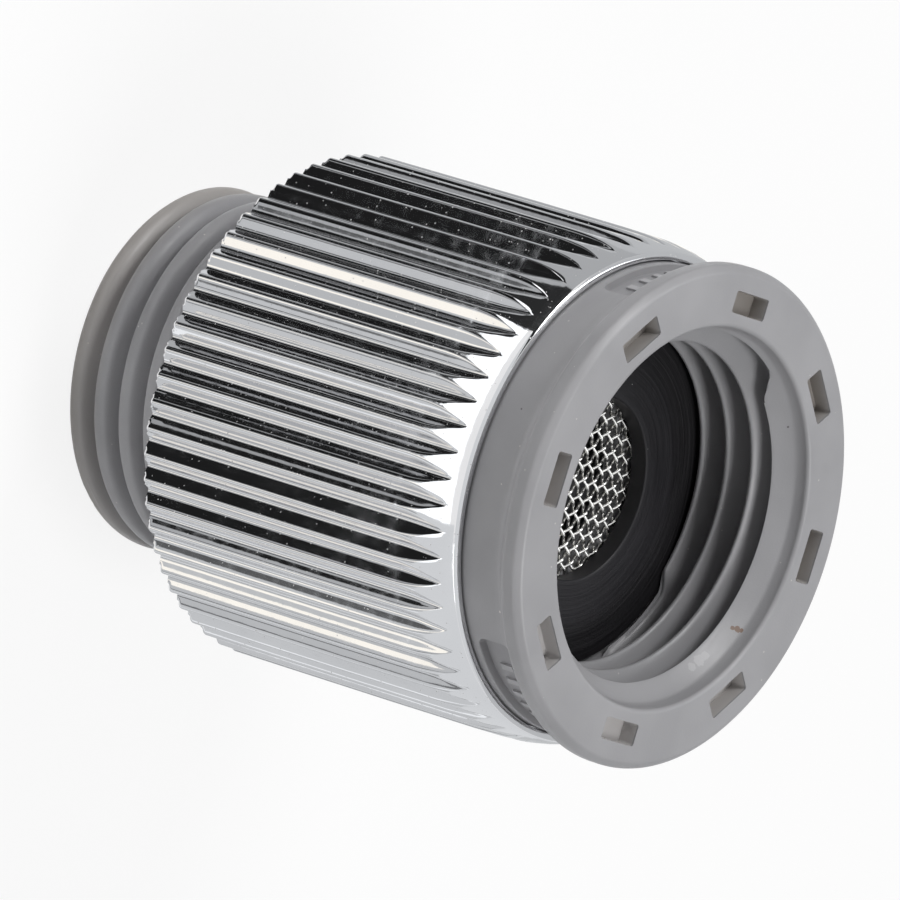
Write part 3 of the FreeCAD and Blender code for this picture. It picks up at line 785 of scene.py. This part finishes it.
def makeWasher():
    inner, outer, low, high = washer["inner"], washer["outer"], washer["low"], washer["top"]
    rebate, step = washer["rebate"]
    corners = [
        (rebate, low), (outer, low), (outer, high, 0.12), (inner, high, 0.12), (inner, step, 0.08),
        (rebate, step),
    ]
    section = sweepSection(corners, lambda p, q: 0.35 if min(p[1], q[1]) > 29.2 else 2.0)
    columns = washer["columns"]
    angles = np.arange(columns) / columns * turn
    radii = np.repeat(section[:, :1], columns, 1)
    heights = np.repeat(section[:, 1:], columns, 1)
    spin = np.repeat(angles[None, :], len(section), 0)
    # the upper face isn't quite flat
    wave = sum(size * np.sin(spin * count + start) for size, count, start in washer["waves"])
    heights = np.where(heights > 29.0, heights - 0.06 + wave * smoothStep((radii - 6.2) / 2), heights)
    ring = lathe("filterWasherRing", radii, heights, spin)
    sharpen(ring, 45)
    return dress(ring, "body", "washer_rubber", "filter_washer")


makeWasher()

weave = {
    "pitch": 0.667,
    "wire": 0.095,     # radius
    "middle": 27.84,   # height
    "reach": 6.5,
    "turn": 46.5,      # degrees
    "swing": 0.1,      # how far a wire passes over and under
    "sides": 8,
    "perCell": 6,
}


def makeScreen():
    points, faces = [], []
    pitch, wire, sides = weave["pitch"], weave["wire"], weave["sides"]
    count = int(weave["reach"] / pitch)
    spin = math.radians(weave["turn"])
    c, d = math.cos(spin) * mm, math.sin(spin) * mm
    for direction in (0, 1):
        for n in range(-count, count + 1):
            across = n * pitch
            half = math.sqrt(max(weave["reach"] ** 2 - across ** 2, 0))
            if half < pitch:
                continue
            steps = max(2, int(2 * half / pitch * weave["perCell"]))
            along = np.linspace(-half, half, steps + 1)
            sign = 1 if (n % 2 == 0) == (direction == 0) else -1
            lift = sign * weave["swing"] * np.cos(along / pitch * math.pi) + weave["middle"]
            first = len(points)
            for s, z in zip(along, lift):
                for k in range(sides):
                    a = turn * k / sides
                    side, up = wire * math.cos(a), wire * math.sin(a)
                    x, y = (s, across + side) if direction == 0 else (across + side, s)
                    points.append((x * c - y * d, x * d + y * c, (z + up) * mm))
            for m in range(steps):
                for k in range(sides):
                    a, b = first + m * sides + k, first + m * sides + (k + 1) % sides
                    quad = (a, b, b + sides, a + sides)
                    faces.append(quad if direction else quad[::-1])
            cap = tuple(first + k for k in range(sides))
            tail = tuple(first + steps * sides + k for k in range(sides))
            faces.append(cap[::-1] if direction else cap)
            faces.append(tail if direction else tail[::-1])
    screen = newObject("wovenWireScreen", points, faces)
    return dress(screen, "body", "screen_steel", "filter_screen")


makeScreen()
print("washer and screen made")


marks = {
    "count": 6,
    "radius": 13.02,
    "raise": 0.13,
    "height": 33.45,
    "stroke": 0.42,
    "sizes": (1.0, 0.2),              # shortest mark, and how much each next one gains
    "starts": (-36.0, 211.0, 5.2),    # degrees: closed end, open end, spacing
}


def raisedStroke(name, angle, height, sizeRound, sizeUp):
    # small raised bar that follows the collar, angle in degrees
    low, high = marks["radius"] - 0.1, marks["radius"] + marks["raise"]
    parts = 10
    points, faces = [], []
    for m in range(parts + 1):
        a = math.radians(angle) + (m / parts - 0.5) * sizeRound / marks["radius"]
        for r, z in ((low, -1), (high, -0.8), (high, 0.8), (low, 1)):
            points.append((r * math.cos(a) * mm, r * math.sin(a) * mm, (height + z * sizeUp / 2) * mm))
    for m in range(parts):
        b = m * 4
        faces += [(b + k, b + 4 + k, b + 4 + (k + 1) % 4, b + (k + 1) % 4) for k in range(4)]
    faces += [(3, 2, 1, 0), tuple(parts * 4 + k for k in range(4))]
    stroke = dress(newObject(name, points, faces, smooth=False), "body", "body_plastic")
    stroke.data.materials[0] = markFinish
    return stroke


closedStart, openStart, spacing = marks["starts"]
for k in range(marks["count"]):
    size = marks["sizes"][0] + marks["sizes"][1] * k
    raisedStroke(f"closedMarkTick{k}", closedStart + spacing * k, marks["height"], marks["stroke"], size)
    raisedStroke(f"openMarkTick{k}", openStart - spacing * k, marks["height"], marks["stroke"], size)
print("marks made")


studio = {
    "floorSize": 1.6,
    "floor": (0.9, 0.9, 0.9),
    "floorGlow": 0.86,    # share of the floor that shows as white, the rest takes the shadow
    "white": 1.0,
    "ambient": 0.17,
    "middle": Vector((0, 0, 0.018)),   # of the part
}


def wireUp(owner, outputKind, make):
    # a fresh node tree that ends in one output
    owner.use_nodes = True
    tree = owner.node_tree
    tree.nodes.clear()
    node(tree, outputKind, {}, [make(tree)])


def seenDirectly(tree):
    # 1 for what the camera sees, also in metal and through glass
    camera, glossy, through = [
        node(tree, "ShaderNodeLightPath", output=kind)
        for kind in ("Is Camera Ray", "Is Glossy Ray", "Is Transmission Ray")
    ]
    return (camera + glossy + through).math("MINIMUM", 1.0)


def glow(tree, kind, strength, tint=(1, 1, 1)):
    return node(tree, kind, {}, {"Color": (*tint, 1), "Strength": strength})


def makeFloor():
    size = studio["floorSize"]
    points = [(-size, -size, 0), (size, -size, 0), (size, size, 0), (-size, size, 0)]
    floor = newObject("studioFloor", points, [(0, 1, 2, 3)], False)
    paint = bpy.data.materials.new("studioFloorPaint")
    wireUp(paint, "ShaderNodeOutputMaterial", lambda tree: node(tree, "ShaderNodeMixShader", {}, [
        seenDirectly(tree) * studio["floorGlow"],
        node(tree, "ShaderNodeBsdfDiffuse", {}, {"Color": (*studio["floor"], 1)}),
        glow(tree, "ShaderNodeEmission", studio["white"]),
    ]))
    floor.data.materials.append(paint)
    floor.visible_glossy = False


def makeWorld():
    world = bpy.data.worlds.new("studioWorld")
    bpy.context.scene.world = world
    wireUp(world, "ShaderNodeOutputWorld", lambda tree: node(tree, "ShaderNodeMixShader", {}, [
        seenDirectly(tree),
        glow(tree, "ShaderNodeBackground", studio["ambient"]),
        glow(tree, "ShaderNodeBackground", studio["white"]),
    ]))


cameraPlace = Vector((0.0, -0.619599, 0.490295))
cameraRight = Vector((-0.293153, 0.578505, 0.761179))
cameraUp = Vector((-0.956066, -0.177198, -0.233537))
cameraBack = Vector((-0.000223, -0.796199, 0.605035))


def makeCamera():
    lens = bpy.data.cameras.new("photoCamera")
    lens.lens = 560
    lens.sensor_width = 36
    lens.clip_start = 0.01
    lens.clip_end = 20
    camera = bpy.data.objects.new("photoCamera", lens)
    bpy.context.scene.collection.objects.link(camera)
    camera.matrix_world = Matrix((
        (cameraRight.x, cameraUp.x, cameraBack.x, cameraPlace.x),
        (cameraRight.y, cameraUp.y, cameraBack.y, cameraPlace.y),
        (cameraRight.z, cameraUp.z, cameraBack.z, cameraPlace.z),
        (0, 0, 0, 1),
    ))
    bpy.context.scene.camera = camera


def fromCamera(right, up, back):
    # a place given along the camera's own axes, from the middle of the part
    return studio["middle"] + cameraRight * right + cameraUp * up + cameraBack * back


def softLight(name, at, watts, size=0.3):
    data = bpy.data.lights.new(name, "AREA")
    data.shape = "DISK"
    data.size = size
    data.energy = watts
    lamp = bpy.data.objects.new(name, data)
    bpy.context.scene.collection.objects.link(lamp)
    lamp.location = at
    lamp.rotation_mode = "QUATERNION"
    lamp.rotation_quaternion = (at - studio["middle"]).to_track_quat("Z", "Y")


def studioCard(name, span, rise, strength, tint):
    # flat glow on a far shell that only reflections see; span and rise are its azimuths and elevations
    shell, parts = 0.5, 6
    across = max(2, int(abs(span[1] - span[0]) / 6))
    points = []
    for m in range(parts + 1):
        up = math.radians(rise[0] + (rise[1] - rise[0]) * m / parts)
        out, height = shell * math.cos(up), 0.02 + shell * math.sin(up)
        for n in range(across + 1):
            a = math.radians(span[0] + (span[1] - span[0]) * n / across)
            points.append((out * math.cos(a), out * math.sin(a), height))
    wide = across + 1
    starts = [m * wide + n for m in range(parts) for n in range(across)]
    card = newObject(name, points, [(i, i + 1, i + wide + 1, i + wide) for i in starts], False)
    paint = bpy.data.materials.new(name + "Paint")
    wireUp(paint, "ShaderNodeOutputMaterial", lambda tree: glow(tree, "ShaderNodeEmission", strength, tint))
    card.data.materials.append(paint)
    card.visible_camera = False
    card.visible_diffuse = False
    card.visible_shadow = False


lowRing = (-62, -33)
cream, cool = (1.0, 0.96, 0.88), (0.96, 0.98, 1.0)
cards = (
    # azimuths, elevations, strength, tint; the camera stands at azimuth -90
    ((-172, -152), lowRing, 0.015, cool),
    ((-152, -146), lowRing, 0.4, cool),
    ((-146, -99), lowRing, 0.015, cool),
    ((-99, -90), lowRing, 0.5, cool),
    ((-90, -85), lowRing, 0.12, cool),
    ((-85, -74), lowRing, 0.66, cool),
    ((-74, -62), lowRing, 1.25, cream),
    ((-62, -48), lowRing, 0.62, cool),
    ((-48, -43), lowRing, 0.2, cool),
    ((-43, -22), lowRing, 0.7, cool),
    ((-22, -14), lowRing, 1.1, cool),
    ((-14, 18), lowRing, 0.68, cool),
    ((18, 24), lowRing, 0.25, cool),
    ((24, 58), lowRing, 0.72, cool),
    ((58, 64), lowRing, 0.4, cool),
    ((64, 90), lowRing, 0.74, cool),
    ((90, 112), lowRing, 1.15, cream),
    ((112, 150), lowRing, 0.78, cool),
    ((150, 188), (-62, 6), 0.5, cool),
    ((-146, -60), (-33, -2), 1.6, cool),
    ((-172, -146), (-33, 60), 0.03, cool),
    ((-146, 20), (8, 62), 0.8, cool),
    ((-60, 60), (-33, 4), 0.8, cool),
    ((20, 100), (8, 62), 0.6, cool),
    ((60, 150), (-33, 8), 0.6, cool),
    ((100, 178), (8, 42), 0.6, cool),
    ((100, 178), (42, 62), 2.8, cool),
    ((-180, 180), (62, 89), 0.8, cool),
)


makeFloor()
makeWorld()
makeCamera()
for index, (span, rise, strength, tint) in enumerate(cards):
    studioCard(f"studioCard{index}", span, rise, strength, tint)
softLight("upperLight", fromCamera(0.5, 0.35, 0.35), 2.1)
softLight("lowerLight", fromCamera(0.45, -0.35, 0.35), 2.15)
softLight("sideLight", Vector((-0.62, -0.25, 0.12)), 0.7)
softLight("edgeLight", Vector((0.5, -0.42, 0.12)), 0.55)
print("studio made")

bpy.context.scene.view_settings.view_transform = "Standard"
